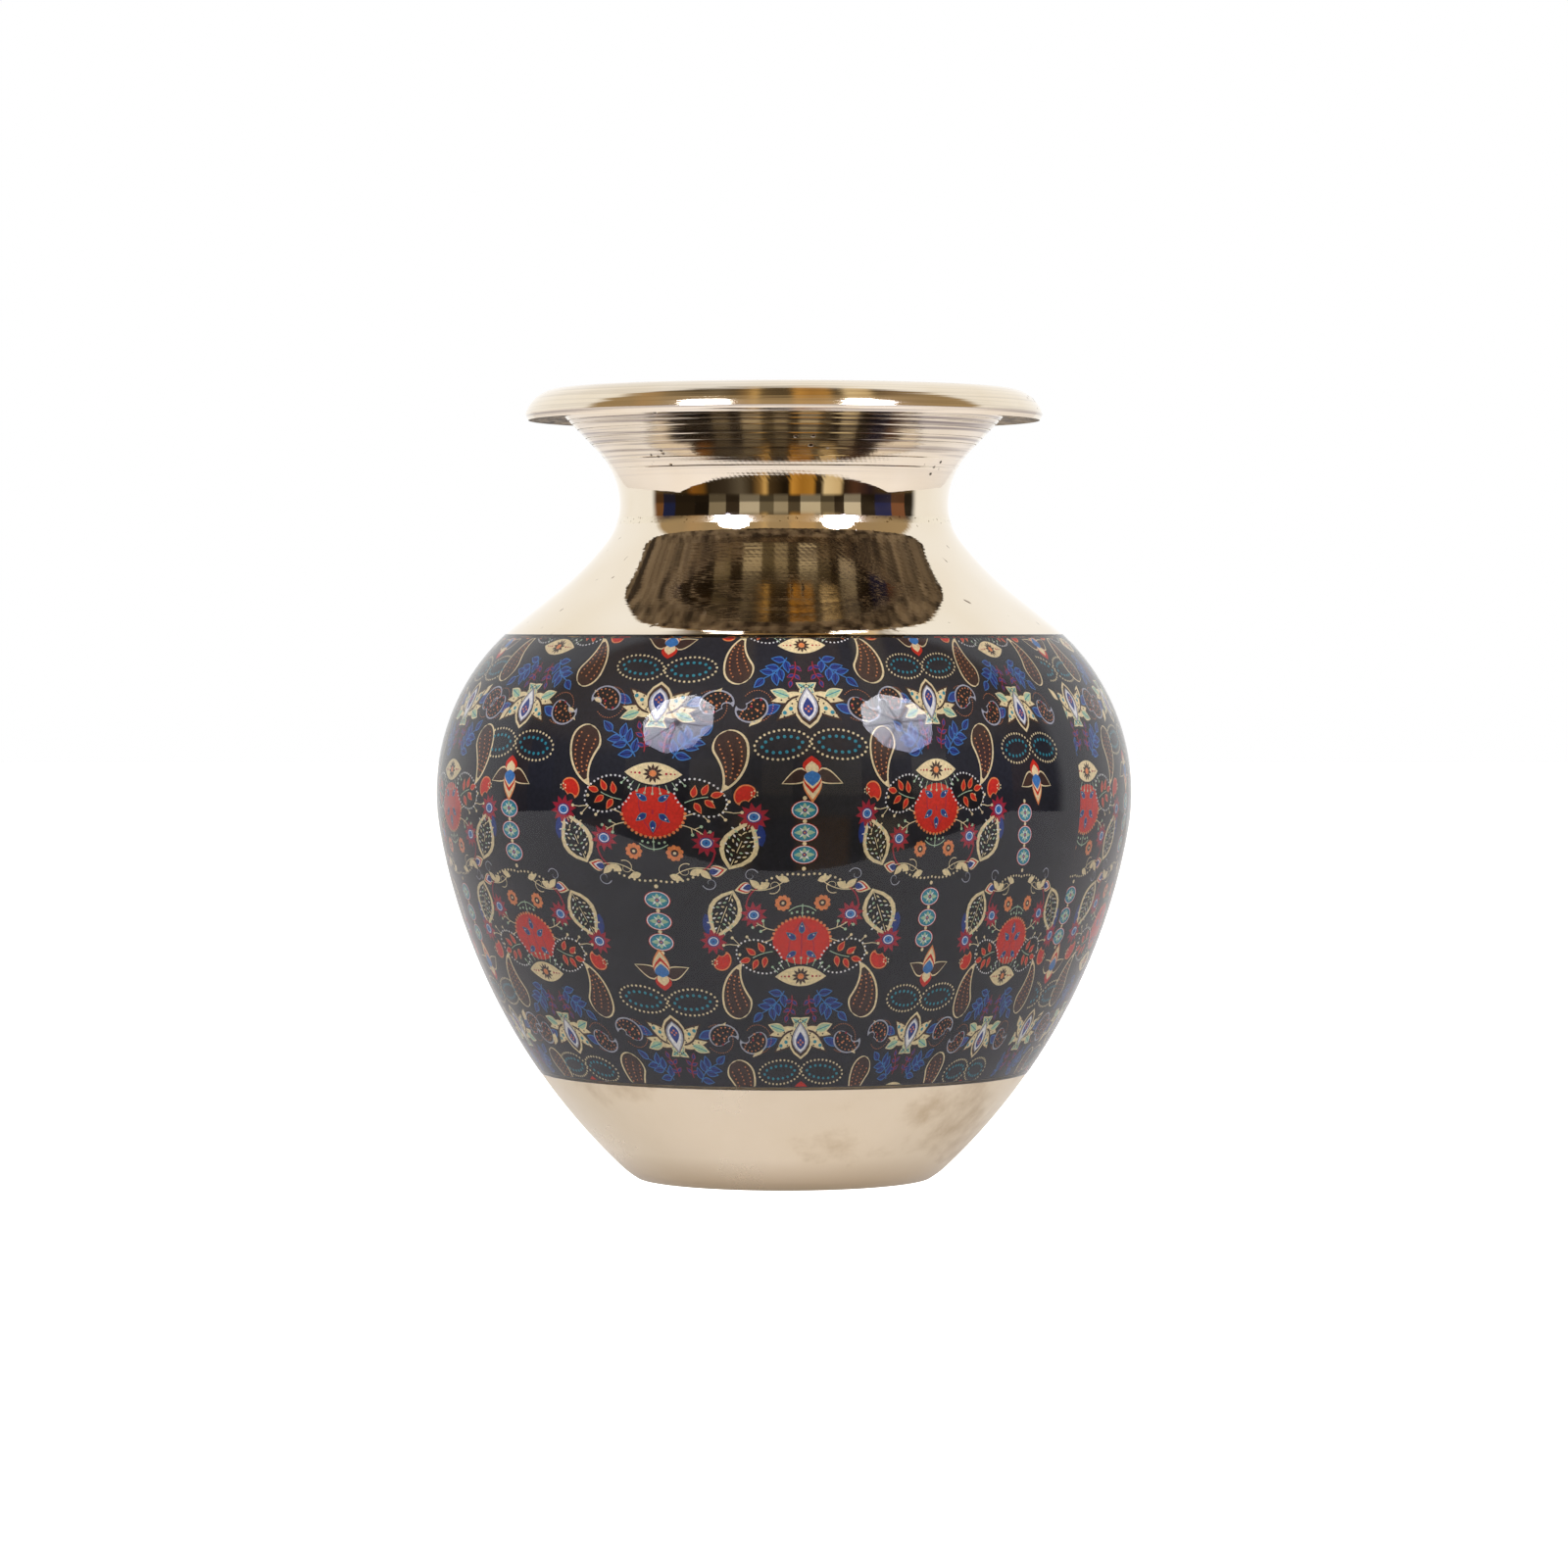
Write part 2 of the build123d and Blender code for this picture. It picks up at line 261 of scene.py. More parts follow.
def turned_brass():
    """Turned yellow brass: a pale gold mirror in the throat, coarse grooves on the flare, and painted
    reflection streaks of grey-mauve below the lip.
    """
    made, tree, shader = material("turned_brass")
    place, radius, height, angle = lathe_coordinates(tree)
    flare = add(tree, "MapRange SMOOTHSTEP", height, THROAT_TOP, FLARE_FOOT)
    rim = add(tree, "MapRange", height, RIM_FOOT, RIM_TURNED)
    lines = turning_lines(tree, radius, height, angle, 0.4 * MM, 1.6)
    streaks = turning_lines(tree, radius, height, angle, 0.6 * MM, 0.7)
    share = add(tree, "MapRange", height, FLARE_LOW, FLARE_HIGH)
    # painted reflection: grey-mauve streaks painted into the brass's colour, thickest a little way under
    # the lip
    thick = [(0.0, 0.0), (0.25, 0.16), (0.5, 0.75), (0.86, 1.0), (0.93, 0.2)]
    painted_reflection_zone = add(tree, "ValToRGB", share, stops=thick)
    tone = add(tree, "TexNoise", place, 60.0, 3.0)
    colour = add(tree, "Mix RGBA", tone, BRASS, BRASS_DEEP)
    # the mask of the painted reflection streaks
    grey = add(tree, "MapRange SMOOTHSTEP", streaks, 0.44, 0.66)
    grey = add(tree, "Math MULTIPLY", grey, painted_reflection_zone)
    colour = add(tree, "Mix RGBA", grey, colour, "#857A78")
    # casting pits, in clusters, slanted and black with oxide
    slanted = add(tree, "Mapping", place, Rotation=(0, 0.5, 0), Scale=(620, 620, 1100))
    cells = add(tree, "TexVoronoi", slanted, 1.0)
    rare = add(tree, "SeparateColor", cells.outputs["Color"])
    cluster = add(tree, "TexNoise", place, 75.0, 1.0)
    wanted = add(tree, "MapRange", cluster, 0.6, 0.72, 1.0, 0.25)
    chosen = add(tree, "Math GREATER_THAN", rare, wanted)
    hole = add(tree, "MapRange", cells.outputs["Distance"], 0.18, 0.38, 1.0, 0.0)
    pits = add(tree, "Math MULTIPLY", add(tree, "Math MULTIPLY", hole, chosen), flare)
    colour = add(tree, "Mix RGBA", pits, colour, OXIDE)
    # a diamond knurl, hardly to be felt, low on the flare
    knurl = add(tree, "Math MULTIPLY", angle, KNURLS)
    knurl = add(tree, "Math MULTIPLY_ADD", height, KNURL_CLIMB, knurl)
    knurl = add(tree, "Math SINE", knurl)
    low = add(tree, "ValToRGB", share, stops=[(0.0, 0.0), (0.1, 1.0), (0.3, 1.0), (0.45, 0.0)])
    relief = add(tree, "Math MULTIPLY", knurl, add(tree, "Math MULTIPLY", low, 0.1))
    depth = add(tree, "Math MULTIPLY_ADD", flare, 1.5, 0.16)
    relief = add(tree, "Math MULTIPLY_ADD", lines, depth, relief)
    coarse = add(tree, "Math MULTIPLY", rim, 3.0)
    relief = add(tree, "Math MULTIPLY_ADD", streaks, coarse, relief)
    relief = add(tree, "Math SUBTRACT", relief, add(tree, "Math MULTIPLY", pits, 4.0))
    bump = add(tree, "Bump", Height=relief, Distance=0.02 * MM, Strength=0.8)
    rough = add(tree, "Math MULTIPLY_ADD", flare, 0.07, 0.04)
    rough = add(tree, "Math MULTIPLY_ADD", rim, -0.02, rough)
    rough = add(tree, "Math MULTIPLY_ADD", pits, 0.5, rough)
    feed(shader, Base_Color=colour, Metallic=1.0, Roughness=rough, Normal=bump)
    return made


def cast_skin():
    """The skin a casting has from the sand: grainy, matt and tarnished grey-brown."""
    made, tree, shader = material("cast_brass_skin")
    place = add(tree, "TexCoord").outputs["Object"]
    grain = add(tree, "TexNoise", place, 900.0, 4.0)
    patch = add(tree, "TexNoise", place, 240.0, 4.0)
    shade = add(tree, "MapRange", patch, 0.38, 0.62)
    colour = add(tree, "Mix RGBA", shade, "#94846C", "#3E3428")
    rough = add(tree, "Math MULTIPLY_ADD", grain, 0.3, 0.4)
    bump = add(tree, "Bump", Height=grain, Distance=0.3 * MM, Strength=1.0)
    feed(shader, Base_Color=colour, Metallic=0.8, Roughness=rough, Normal=bump)
    return made


def inner_brass():
    """The inside: roughly turned brass that is never polished, dull and a little browned."""
    made, tree, shader = material("dull_inner_brass")
    place, radius, height, angle = lathe_coordinates(tree)
    lines = turning_lines(tree, radius, height, angle, 0.6 * MM, 1.0)
    patch = add(tree, "TexNoise", place, 45.0, 4.0)
    shade = add(tree, "MapRange", patch, 0.35, 0.7)
    colour = add(tree, "Mix RGBA", shade, "#C8B083", "#94794F")
    rough = add(tree, "Math MULTIPLY_ADD", patch, 0.3, 0.18)
    bump = add(tree, "Bump", Height=lines, Distance=0.05 * MM, Strength=0.5)
    feed(shader, Base_Color=colour, Metallic=1.0, Roughness=rough, Normal=bump)
    return made


inner_finish = inner_brass()
outline, closed = seam_outline("mouth_and_neck")
# the heights at which the tool paused
GROOVES = [0.1258, 0.12745, 0.1287, 0.1301, 0.1312, 0.1327, 0.1337, 0.1344]
outline = grooved(smooth_outline(outline, closed), GROOVES, 0.13 * MM, 0.07 * MM)
mouth = turned_piece("mouth_casting", outline, closed)
for finish in (turned_brass(), inner_finish, cast_skin()):
    mouth.data.materials.append(finish)
line_inside(mouth, CAD_BOX[1][2] - 4 * MM)
for face in mouth.data.polygons:
    if face.normal.z < -0.9 and face.center.z > LIP_UNDERSIDE:
        face.material_index = 2
# the sand has left the skin lumpy, but only inwards of the turned faces around it
turned = {i for face in mouth.data.polygons if face.material_index != 2 for i in face.vertices}
rough = {i for face in mouth.data.polygons if face.material_index == 2 for i in face.vertices}
sand = np.random.default_rng(7)
for i in sorted(rough - turned):
    mouth.data.vertices[i].co.z += sand.uniform(0.0, 0.3) * MM
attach(mouth, "root")
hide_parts("mouth_and_neck")

# ---------------------------------------------------------------------------
# The shoulder and upper belly: a second casting, brazed under the throat and turned with
# it. The tool chattered here and left fine slanting marks across the polish.
CHATTERS, CHATTER_CLIMB = 190.0, 6300.0  # round the pot, and the radians climbed in a metre
BAND_TOP, EDGE_TOP = 0.0915, 0.0925  # the edge that is faced over the band


def shoulder_brass():
    """Turned brass with chatter: a mirror broken up by rings and fine slanting ripples."""
    made, tree, shader = material("chattered_brass")
    place, radius, height, angle = lathe_coordinates(tree)
    lines = turning_lines(tree, radius, height, angle, 0.55 * MM, 1.6)
    # chatter marks a millimetre apart, which climb as they go round
    slant = add(tree, "Math MULTIPLY", angle, CHATTERS)
    slant = add(tree, "Math MULTIPLY_ADD", height, CHATTER_CLIMB, slant)
    chatter = add(tree, "Math SINE", slant)
    swell = add(tree, "TexNoise", place, 30.0, 1.0)
    chatter = add(tree, "Math MULTIPLY", chatter, add(tree, "MapRange", swell, 0.35, 0.7))
    # hairline scratches that handling has left
    drawn_out = add(tree, "Mapping", place, Rotation=(0.4, 0.9, 0.3), Scale=(40, 900, 500))
    scratch = add(tree, "TexNoise", drawn_out, 1.0, 2.0)
    scratch = add(tree, "MapRange", scratch, 0.72, 0.76)
    tone = add(tree, "TexNoise", place, 40.0, 2.0)
    colour = add(tree, "Mix RGBA", tone, BRASS, BRASS_DEEP)
    colour = add(tree, "Mix RGBA", scratch, colour, "#6E5C48")
    # the edge over the band is faced bright in coarser lines
    edge = add(tree, "MapRange", height, EDGE_TOP, BAND_TOP)
    rough = add(tree, "Math MULTIPLY_ADD", edge, 0.1, 0.035)
    relief = add(tree, "Math MULTIPLY_ADD", chatter, 0.14, lines)
    relief = add(tree, "Math SUBTRACT", relief, add(tree, "Math MULTIPLY", scratch, 1.5))
    bump = add(tree, "Bump", Height=relief, Distance=0.01 * MM, Strength=0.6)
    feed(shader, Base_Color=colour, Metallic=1.0, Roughness=rough, Normal=bump)
    return made


outline, closed = seam_outline("shoulder_bowl")
shoulder = turned_piece("shoulder_casting", smooth_outline(outline, closed), closed)
for finish in (shoulder_brass(), inner_finish):
    shoulder.data.materials.append(finish)
line_inside(shoulder)
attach(shoulder, "root")
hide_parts("shoulder_bowl")

# ---------------------------------------------------------------------------
# The base: the third casting, with the floor and the foot. Its outside is rubbed to a
# satin finish that has begun to tarnish in soft brown patches.
FOOT_DARKENING_TOP = 0.006  # the height below which the brass grows browner towards the foot
FLOOR_TOP = 0.01  # the floor's inner face is below this


def satin_brass():
    """Satin brass: pale beige gold, clouded by handling and a little tarnish."""
    made, tree, shader = material("satin_brass")
    place, radius, height, angle = lathe_coordinates(tree)
    lines = turning_lines(tree, radius, height, angle, 0.3 * MM, 4.0)
    patch = add(tree, "TexNoise", place, 42.0, 6.0, 0.6)
    clean = add(tree, "Mix RGBA", patch, "#DED2BE", "#D0C0A2")
    smudge = add(tree, "MapRange SMOOTHSTEP", patch, 0.54, 0.74, 0.0, 0.7)
    # browner towards the foot, over its lowest few millimetres; the soft patches above are tarnish
    foot = add(tree, "MapRange", height, FOOT_DARKENING_TOP, 0.001, 0.0, 0.6)
    browned = add(tree, "Math MAXIMUM", smudge, foot)
    colour = add(tree, "Mix RGBA", browned, clean, "#A38A68")
    rough = add(tree, "Math MULTIPLY_ADD", patch, 0.14, 0.22)
    bump = add(tree, "Bump", Height=lines, Distance=0.012 * MM, Strength=0.5)
    feed(shader, Base_Color=colour, Metallic=1.0, Roughness=rough, Normal=bump)
    return made


outline, closed = seam_outline("base_bowl")
base = turned_piece("base_casting", smooth_outline(outline, closed), closed)
for finish in (satin_brass(), inner_finish):
    base.data.materials.append(finish)
line_inside(base)
for face in base.data.polygons:
    if face.normal.z > 0.9 and face.center.z < FLOOR_TOP:
        face.material_index = 1
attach(base, "root")
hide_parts("base_bowl")

# ---------------------------------------------------------------------------
# The brazed seams: two rings of paler brazing metal that join the three castings. Each
# fills its lap and is turned flush, so the upper one is a thin line under the throat.


def brazing_metal():
    """Brazing brass: a little paler and greyer than the castings, with gas pinholes."""
    made, tree, shader = material("brazing_brass")
    place = add(tree, "TexCoord").outputs["Object"]
    grain = add(tree, "TexNoise", place, 1500.0, 2.0)
    holes = add(tree, "MapRange", grain, 0.62, 0.7)
    colour = add(tree, "Mix RGBA", holes, "#E6DBC6", "#8A765A")
    bump = add(tree, "Bump", Height=grain, Distance=0.02 * MM, Strength=0.4)
    feed(shader, Base_Color=colour, Metallic=1.0, Roughness=0.14, Normal=bump)
    return made


braze = brazing_metal()
for node_name, piece_name in (("neck_seam", "neck_braze"), ("belly_seam", "belly_braze")):
    outline, closed = seam_outline(node_name)
    ring = turned_piece(piece_name, smooth_outline(outline, closed), closed)
    ring.data.materials.append(braze)
    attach(ring, "root")
    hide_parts(node_name)

# ---------------------------------------------------------------------------
# The printed film: a thin band printed on a near-black ground, shrunk into the belly's
# recess. Its ends overlap in a seam at one side.


def printed_ground():
    """Printed black: a soft blue charcoal, with the press's fine grain and a few pale specks."""
    made, tree, shader = material("printed_black_ground")
    place = add(tree, "TexCoord").outputs["Object"]
    grain = add(tree, "TexNoise", place, 1400.0, 2.0)
    colour = add(tree, "Mix RGBA", grain, "#191A20", "#2A2B33")
    cells = add(tree, "TexVoronoi", place, 230.0)
    rare = add(tree, "Math GREATER_THAN", add(tree, "SeparateColor", cells.outputs["Color"]), 0.965)
    speck = add(tree, "MapRange", cells.outputs["Distance"], 0.08, 0.12, 1.0, 0.0)
    speck = add(tree, "Math MULTIPLY", speck, rare)
    colour = add(tree, "Mix RGBA", speck, colour, "#7E7F88")
    feed(shader, Base_Color=colour, Roughness=0.6, Specular_IOR_Level=0.2)
    return made


film_outline, closed = seam_outline("printed_film")
film = turned_piece("printed_ground", smooth_outline(film_outline, closed), closed)
film.data.materials.append(printed_ground())
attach(film, "root")
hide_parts("printed_film")

# ---------------------------------------------------------------------------
# The print: folk medallions, paisleys and bead strings, in columns that stand on their
# feet and on their heads by turns. Each ink is one screen's worth of small flat shapes,
# a hair's breadth over the ground, in the order that the inks were laid down.
INK_LIFT = 0.008 * MM  # each ink lies this much over the one before
INKS = {
    "brown": "#44302A",
    "navy": "#27408A",
    "blue": "#3F7FC0",
    "teal": "#3495A6",
    "crimson": "#B02A3C",
    "red": "#D6301F",
    "orange": "#EE9255",
    "mint": "#B4D2AC",
    "grey": "#AEB2BE",
    "cream": "#F1E0AE",
    "white": "#F2F2EE",
    "black": "#17171C",
}
shapes = []  # each is an ink, a layer and rows of points, in mm over the motif's middle


def turn_about(points, degrees, x, y):
    """Turns a point, or points, about (0, 0) and then moves them to a place."""
    c, s = math.cos(math.radians(degrees)), math.sin(math.radians(degrees))
    return np.asarray(points) @ np.array([[c, s], [-s, c]]) + (x, y)


def lay(ink, layer, rows):
    """Keeps a shape made of rows of points."""
    shapes.append((ink, layer, np.asarray(rows, dtype=float)))


def patch_of(ink, layer, rim, rings=2, heart=None):
    """A filled shape: its closed rim, drawn in ring by ring to its heart."""
    rim = np.vstack([rim, rim[:1]])
    heart = rim[:-1].mean(axis=0) if heart is None else np.asarray(heart, dtype=float)
    lay(ink, layer, [heart + (rim - heart) * k / rings for k in range(rings, -1, -1)])


def line_of(ink, layer, path, width, taper=False):
    """A drawn line: a path with a width, which may thin out to its end."""
    path = np.asarray(path, dtype=float)
    way = np.gradient(path, axis=0)
    way /= np.hypot(*way.T)[:, None]
    half = np.full(len(path), width / 2)
    if taper:
        half *= np.linspace(1, 0.25, len(path))
    side = np.column_stack([-way[:, 1], way[:, 0]]) * half[:, None]
    lay(ink, layer, [path - side, path + side])


def round_rim(x, y, width, height, count=10, degrees=0):
    """The rim of a round or oval shape."""
    t = np.arange(count) * 2 * math.pi / count
    return turn_about(np.column_stack([np.cos(t) * width / 2, np.sin(t) * height / 2]), degrees, x, y)


def dot(ink, layer, x, y, size):
    """A dot."""
    patch_of(ink, layer, round_rim(x, y, size, size, 7), 1)


def dots_along(ink, layer, path, pitch, size):
    """A string of dots, evenly spaced along a path."""
    path = np.asarray(path, dtype=float)
    run = np.concatenate([[0], np.cumsum(np.hypot(*np.diff(path, axis=0).T))])
    count = max(2, int(run[-1] / pitch) + 1)
    for at in np.linspace(0, run[-1], count):
        dot(ink, layer, np.interp(at, run, path[:, 0]), np.interp(at, run, path[:, 1]), size)


def bow(x0, y0, x1, y1, bulge, count=12):
    """A curved path between two points that bulges to its left."""
    t = np.linspace(0, 1, count)[:, None]
    a, b = np.array([x0, y0]), np.array([x1, y1])
    side = np.array([a[1] - b[1], b[0] - a[0]])
    return a + (b - a) * t + side * bulge * 4 * t * (1 - t)


def leaf_rim(length, width, tip=1.0, count=8):
    """The rim of a leaf that starts at (0, 0) and points up."""
    t = np.linspace(0, 1, count)
    half = np.sin(math.pi * t**tip) * width / 2
    left = np.column_stack([-half, t * length])
    right = np.column_stack([half, t * length])[::-1]
    return np.vstack([left, right[1:-1]])


def leaf(ink, layer, x, y, length, width, degrees, tip=1.0, edge=None, vein=None):
    """A leaf, with an edge and a vein of other inks if it has them."""
    if edge:
        patch_of(edge, layer, turn_about(leaf_rim(length, width, tip), degrees, x, y), 2)
        inner = leaf_rim(length * 0.84, width * 0.74, tip) + (0, length * 0.07)
    else:
        inner = leaf_rim(length, width, tip)
    patch_of(ink, layer + 1, turn_about(inner, degrees, x, y), 2)
    if vein:
        spine = turn_about([(0, length * 0.1), (0, length * 0.5), (0, length * 0.85)], degrees, x, y)
        line_of(vein, layer + 2, spine, width * 0.09)


def flower(x, y, petals, size, ink, heart, eye, layer=3, degrees=0):
    """A small flower: petals round a heart with an eye."""
    for k in range(petals):
        a = degrees + 360 * k / petals
        place = turn_about((0, size * 0.31), a, x, y)
        patch_of(ink, layer, round_rim(*place, size * 0.30, size * 0.36, 7, a), 1)
    patch_of(heart, layer + 1, round_rim(x, y, size * 0.42, size * 0.42, 10), 1)
    dot(eye, layer + 2, x, y, size * 0.18)


def paisley(x, y, length, width, degrees, side, fill, edge, layer=2, curl=75, rim=0.4, inner=None):
    """A paisley: a round head at its place, whose tail runs on up and curls to the side.

    It has an edge of one ink, a fill of another, and a row of dots if it has inner.
    """
    t = np.linspace(0, 1, 20) ** 1.3
    angle = math.radians(90) - math.radians(curl) * t**1.3 * 1.15
    step = np.diff(t, prepend=0) * length
    spine = np.cumsum(np.column_stack([np.cos(angle), np.sin(angle)]) * step[:, None], axis=0)
    head = width / 2 / length
    round_head = np.sqrt(np.clip(1 - (1 - t / head) ** 2, 0, 1))
    tail = 1 - np.clip((t - head) / (1 - head), 0, 1) ** 1.35
    half = width / 2 * np.where(t < head, round_head, tail)
    way = np.gradient(spine, axis=0)
    way /= np.hypot(*way.T)[:, None]
    across = np.column_stack([-way[:, 1], way[:, 0]])
    for ink, kept, level in ((edge, half, layer), (fill, np.clip(half - rim, 0, None), layer + 1)):
        rows = [spine + across * (kept * k)[:, None] for k in (-1, -0.5, 0, 0.5, 1)]
        cut = kept > 0 if ink == fill else slice(0, None)
        lay(ink, level, [turn_about(row[cut] * (side, 1), degrees * side, x, y) for row in rows])
    if inner:
        for share in (-0.55, 0.0, 0.55):
            row = (spine + across * (half * share)[:, None])[5:-4]
            dots_along(inner, layer + 2, turn_about(row * (side, 1), degrees * side, x, y), 0.85, 0.34)


def sprig(x, y, length, degrees, side, stem, berry):
    """A thin stem with berries on short curved stalks."""
    path = bow(0, 0, 0, length, 0.08, 10) * (side, 1)
    line_of(stem, 2, turn_about(path, degrees * side, x, y), 0.17)
    for k, way in ((3, 1), (4, -1), (6, 1), (7, -1), (9, 0)):
        end = path[k] + (way * length * 0.2, length * 0.15)
        line_of(stem, 2, turn_about([path[k], (path[k] + end) / 2, end], degrees * side, x, y), 0.15)
        dot(berry, 3, *turn_about(end, degrees * side, x, y), 0.62)


def leaf_spray(x, y, length, degrees, side, ink, vein, pairs=3, size=2.6):
    """A spray of leaves in pairs on a stem, with one at its tip."""
    path = bow(0, 0, 0, length, 0.1, 10) * (side, 1)
    line_of(vein, 2, turn_about(path, degrees * side, x, y), 0.2)
    feet = [(path[int((k + 0.5) / pairs * 8)], hand * 55) for k in range(pairs) for hand in (-1, 1)]
    for foot, swing in feet + [(path[-1], 0)]:
        lean = degrees * side + swing
        place = turn_about(foot, degrees * side, x, y)
        leaf(ink, 3, *place, size, size * 0.56, lean, 0.75, edge=vein, vein="black")


def curl_of(x, y, size, degrees, side, ink="cream"):
    """A tendril that winds in on itself."""
    t = np.linspace(0, 1, 20)
    angle = t * 6.4
    radius = size * (1 - 0.78 * t)
    path = np.column_stack([(radius * np.cos(angle) - size) * side, radius * np.sin(angle)])
    line_of(ink, 2, turn_about(path, degrees * side, x, y), 0.18, taper=True)


def roundel(y):
    """A bead of the string: a teal disc in a white and red rim, with four green petals."""
    for ink, level, size in (("red", 2, 5.0), ("white", 3, 4.7), ("navy", 4, 4.3), ("teal", 5, 4.0)):
        patch_of(ink, level, round_rim(0, y, size, size * 0.72, 20), 3)
    for a in (0, 90, 180, 270):
        leaf("mint", 6, 0, y, 1.9 if a in (90, 270) else 1.35, 0.85, a, 0.75)
        leaf("white", 6, 0, y, 1.3, 0.36, a + 45, 0.8)
    dot("navy", 8, 0, y, 0.9)
    dot("orange", 9, 0, y, 0.4)


def daisy(x, y, size, ink, heart, degrees=0):
    """A flower of ten long petals round an eye with a rim."""
    for k in range(10):
        a = degrees + 36 * k
        foot = turn_about((0, size * 0.16), a, x, y)
        leaf(ink, 2, *foot, size * 0.37, size * 0.2, a, 0.5)
    for ring, level, share in ((ink, 4, 0.46), ("navy", 5, 0.42), ("white", 6, 0.34), (heart, 7, 0.27)):
        patch_of(ring, level, round_rim(x, y, size * share * 1.15, size * share, 14), 1)
    dot("navy", 8, x, y, size * 0.08)


def medallion():
    """The big round motif up to its lotus crown. The seed at its heart is over (0, 0)."""
    # the red dome, with a dotted rim and five blue leaves inside
    patch_of("red", 2, round_rim(0, -5.0, 11.2, 9.4, 30), 6)
    rim = round_rim(0, -5.0, 11.4, 9.6, 40)
    dots_along("orange", 4, np.vstack([rim[-19:], rim[:1]])[::-1], 0.86, 0.6)
    for x, y, a, size in ((0, -7.0, 180, 2.4), (-2.0, -5.8, 128, 2.5), (2.0, -5.8, -128, 2.5),
                          (-1.8, -3.4, 58, 2.4), (1.8, -3.4, -58, 2.4)):  # fmt: skip
        leaf("navy", 5, x * 0.55, y + 0.5, size, size * 0.5, a, 0.7, edge="teal")
        dot("white", 8, *turn_about((0, size * 0.62), a, x * 0.55, y + 0.5), 0.32)
    for side in (-1, 1):
        line_of("crimson", 3, bow(0, -9.0, side * 2.4, -1.4, side * -0.12, 8), 0.22)
    line_of("crimson", 4, [(0, -9.2), (0, -5.0), (0, -1.0)], 0.3)
    # the cream seed pod with a rosette on it, and a fan of buds under it
    pod = bow(-5.2, 2.2, 5.2, 2.2, 0.2, 14)
    pod_under = bow(5.2, 2.2, -5.2, 2.2, 0.2, 14)
    patch_of("cream", 5, np.vstack([pod[:-1], pod_under[:-1]]), 4, heart=(0, 2.2))
    for k in range(11):
        a = 360 * k / 11
        foot = turn_about((0, 0.5), a, 0, 2.2)
        leaf("brown", 6, *foot, 1.35, 0.56, a, 0.7)
    patch_of("orange", 8, round_rim(0, 2.2, 1.3, 1.2, 12), 1)
    for side in (-1, 1):
        for k, size in ((2.4, 0.5), (3.2, 0.42), (3.9, 0.34)):
            dot("crimson", 6, side * k, 2.2, size)
    for k in range(-4, 5):
        foot = (k * 1.15, -0.25 + 0.1 * k * k)
        tip = (k * 1.42, -1.6 + 0.11 * k * k)
        line_of("mint", 5, [foot, ((foot[0] + tip[0]) / 2, (foot[1] + tip[1]) / 2), tip], 0.14)
        dot("mint", 6, *tip, 0.5)
    for side in (-1, 1):
        # dotted ovals round orange sprigs
        oval = round_rim(side * 8.3, -2.0, 9.4, 6.4, 36, side * -24)
        patch_of("black", 3, round_rim(side * 8.3, -2.0, 9.0, 6.0, 20, side * -24), 4)
        dots_along("white", 5, np.vstack([oval, oval[:1]]), 0.84, 0.42)
        line_of("mint", 4, bow(side * 5.6, -3.0, side * 9.6, -1.8, 0.05, 6), 0.16)
        orange_leaves = (10.0, -1.6, -76), (8.6, -1.5, -26), (9.0, -2.4, -128), (7.0, -2.0, -10)
        for x, y, a in orange_leaves + ((7.3, -2.9, -150),):
            leaf("red", 5, side * x, y, 2.4, 1.25, side * a, 0.75, edge="orange")
        # blue sprays over the seed pod
        leaf_spray(side * 3.4, 5.2, 6.6, -46, side, "navy", "blue", 3, 3.0)
        leaf_spray(side * 1.8, 6.2, 4.4, -14, side, "navy", "crimson", 2, 1.7)
        # the big brown paisley, its tail pointing down and out
        paisley(side * 11.9, 10.6, 12.4, 6.4, -148, side, "brown", "cream", 3, 62, 0.42, inner="orange")
        paisley(side * 17.4, -1.2, 4.4, 3.4, -66, -side, "red", "orange", 3, 120, 0.28)
        for k in range(6):
            dot("cream", 5, *turn_about((0, 0.55), 60 * k, side * 17.3, -1.1), 0.34)
        leaf("cream", 2, side * 16.4, 11.6, 3.6, 1.7, side * -42, 1.3)
        # speckled leaves in a cream outline
        leaf("black", 3, side * 13.0, -15.4, 10.2, 6.6, side * -22, 0.85, edge="cream")
        for k in range(7):
            px, py = turn_about((0, 1.4 + k * 1.05), side * -22, side * 13.0, -15.4)
            for hand in (-1, 1):
                for reach, size in ((0.35, 0.75), (1.2, 0.8), (2.05, 0.6)):
                    if reach < 2.6 * math.sin(math.pi * (0.12 + k * 0.115)):
                        qx, qy = turn_about((hand * reach, reach * 0.45), side * -22, px, py)
                        ink = ("mint", "cream", "white")[(k + int(reach * 2) + hand) % 3]
                        leaf(ink, 5, qx, qy, size, 0.32, side * -22 - hand * (30 + 25 * (k % 3)))
        spine = turn_about([(0, 0.6), (0, 5.0), (0, 9.2)], side * -22, side * 13.0, -15.4)
        line_of("black", 5, spine, 0.3)
        line_of("cream", 6, spine, 0.14)
        # blue crescents behind crimson flowers
        patch_of("navy", 1, turn_about(leaf_rim(6.4, 2.6, 0.8), side * 18, side * 18.6, -11.0), 2)
        daisy(side * 17.2, -5.4, 5.2, "crimson", "blue", side * 10)
        daisy(side * 9.2, -10.4, 5.0, "crimson", "blue", side * 4)
        flower(side * 3.7, -12.6, 9, 3.3, "orange", "brown", "cream", degrees=side * 6)
        sprig(side * 5.4, -5.6, 8.6, -84, side, "cream", "cream")
        sprig(side * 5.0, -7.2, 5.2, -118, side, "cream", "mint")
